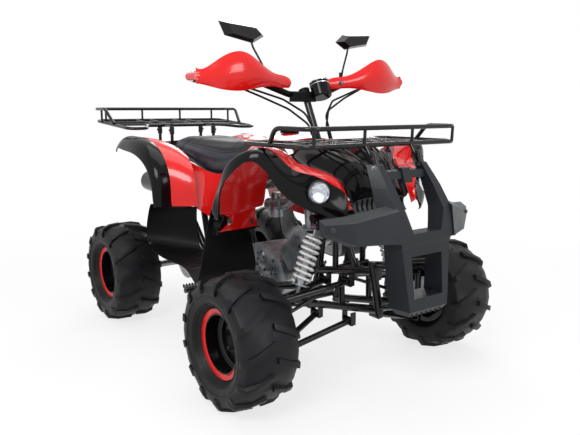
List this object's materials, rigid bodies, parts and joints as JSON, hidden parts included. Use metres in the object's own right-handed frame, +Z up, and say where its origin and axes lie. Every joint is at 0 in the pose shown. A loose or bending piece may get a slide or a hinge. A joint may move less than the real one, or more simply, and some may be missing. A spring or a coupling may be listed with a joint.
{
  "type": "quad bike",
  "caption": "Adult utility quad bike with open front end, double wishbone front suspension, chain driven solid rear axle, tube racks and full handlebar steering.",
  "frame": {"origin": "on the ground at the middle of the vehicle's overall length, midway between the wheels of each axle", "axes": "+X forwards, +Y to the vehicle's left, +Z up"},
  "size_m": [1.741, 1.066, 1.1488],
  "materials": {
    "red_plastic": "glossy",
    "black_gloss": "glossy",
    "bumper_plastic": "satin",
    "black_plastic": "matte",
    "black_metal": "satin",
    "red_metal": "glossy",
    "tyre": "matte",
    "seat_cover": "satin",
    "cast_metal": "satin",
    "steel": "brushed",
    "chrome": "polished",
    "spring_white": "glossy",
    "lens": "clear",
    "lens_red": "clear red"
  },
  "bodies": {
    "chassis": {"stripes": "red_plastic", "nose": "black_plastic", "suspension_arms": "black_metal", "dampers": "steel", "springs": "spring_white", "frame_front": "black_metal", "frame_main": "black_metal", "swing_arm": "black_metal", "swing_pin": "steel", "chain": "steel", "brake_caliper": "cast_metal", "engine_case": "cast_metal", "engine_cylinder": "cast_metal", "carburettor": "cast_metal", "exhaust": "black_metal", "flares_front": "black_gloss", "fenders_front": "red_plastic", "hood": "black_gloss", "tank_cover": "red_plastic", "tank_cap": "black_plastic", "side_covers": "red_plastic", "flares_rear": "black_gloss", "fenders_rear": "red_plastic", "tail_cover": "black_gloss", "footwells": "black_plastic", "footpegs": "black_metal", "seat": "seat_cover", "bumper": "bumper_plastic", "rack_front": "black_metal", "rack_rear": "black_metal", "lamp_housings": "black_gloss", "headlamps": "lens", "tail_lamp": "lens_red"},
    "steering": {"cables": "black_plastic", "steering_column": "black_metal", "handlebar": "black_plastic", "hand_guards": "red_plastic", "mirrors": "black_metal", "speedometer": "chrome", "bar_pad": "black_plastic"},
    "knuckle_r": {"knuckle_right": "black_metal"},
    "knuckle_l": {"knuckle_left": "black_metal"},
    "tie_r": {"tie_rod_right": "black_metal"},
    "tie_l": {"tie_rod_left": "black_metal"},
    "wheel_fr": {"tyre_front_right": "tyre", "rim_front_right": "black_metal", "ring_front_right": "red_metal", "hub_front_right": "cast_metal"},
    "wheel_fl": {"tyre_front_left": "tyre", "rim_front_left": "black_metal", "ring_front_left": "red_metal", "hub_front_left": "cast_metal"},
    "rear_axle_set": {"tyres_rear": "tyre", "rims_rear": "black_metal", "rings_rear": "red_metal", "rear_axle": "steel", "sprocket": "steel", "brake_disc": "steel"}
  },
  "joints": [
    {"name": "steer", "type": "hinge", "parent": "chassis", "child": "steering", "pos_m": [0.563, 0, 0.338], "axis": [-0.4311, 0, 0.9023], "range_deg": [-30, 30]},
    {"name": "steer_knuckle_r", "type": "hinge", "parent": "chassis", "child": "knuckle_r", "pos_m": [0.523, -0.34, 0.203], "axis": [0, 0, 1], "range_deg": [-30, 30]},
    {"name": "steer_knuckle_l", "type": "hinge", "parent": "chassis", "child": "knuckle_l", "pos_m": [0.523, 0.34, 0.203], "axis": [0, 0, 1], "range_deg": [-30, 30]},
    {"name": "tie_pivot_r", "type": "hinge", "parent": "steering", "child": "tie_r", "pos_m": [0.5215, -0.017, 0.31817], "axis": [-0.4311, 0, 0.9023], "range_deg": [-31.2, 31.2]},
    {"name": "tie_pivot_l", "type": "hinge", "parent": "steering", "child": "tie_l", "pos_m": [0.5215, 0.017, 0.31817], "axis": [-0.4311, 0, 0.9023], "range_deg": [-31.2, 31.2]},
    {"name": "wheel_spin_fr", "type": "hinge", "parent": "knuckle_r", "child": "wheel_fr", "pos_m": [0.523, -0.435, 0.203], "axis": [0, 1, 0], "continuous": true},
    {"name": "wheel_spin_fl", "type": "hinge", "parent": "knuckle_l", "child": "wheel_fl", "pos_m": [0.523, 0.435, 0.203], "axis": [0, 1, 0], "continuous": true},
    {"name": "rear_axle_spin", "type": "hinge", "parent": "chassis", "child": "rear_axle_set", "pos_m": [-0.477, 0, 0.203], "axis": [0, 1, 0], "continuous": true}
  ],
  "couplings": [
    {"joint": "steer_knuckle_r", "follows": "steer", "ratio": 1},
    {"joint": "steer_knuckle_l", "follows": "steer", "ratio": 1},
    {"joint": "tie_pivot_r", "follows": "steer", "ratio": -1.04},
    {"joint": "tie_pivot_l", "follows": "steer", "ratio": -1.04}
  ]
}
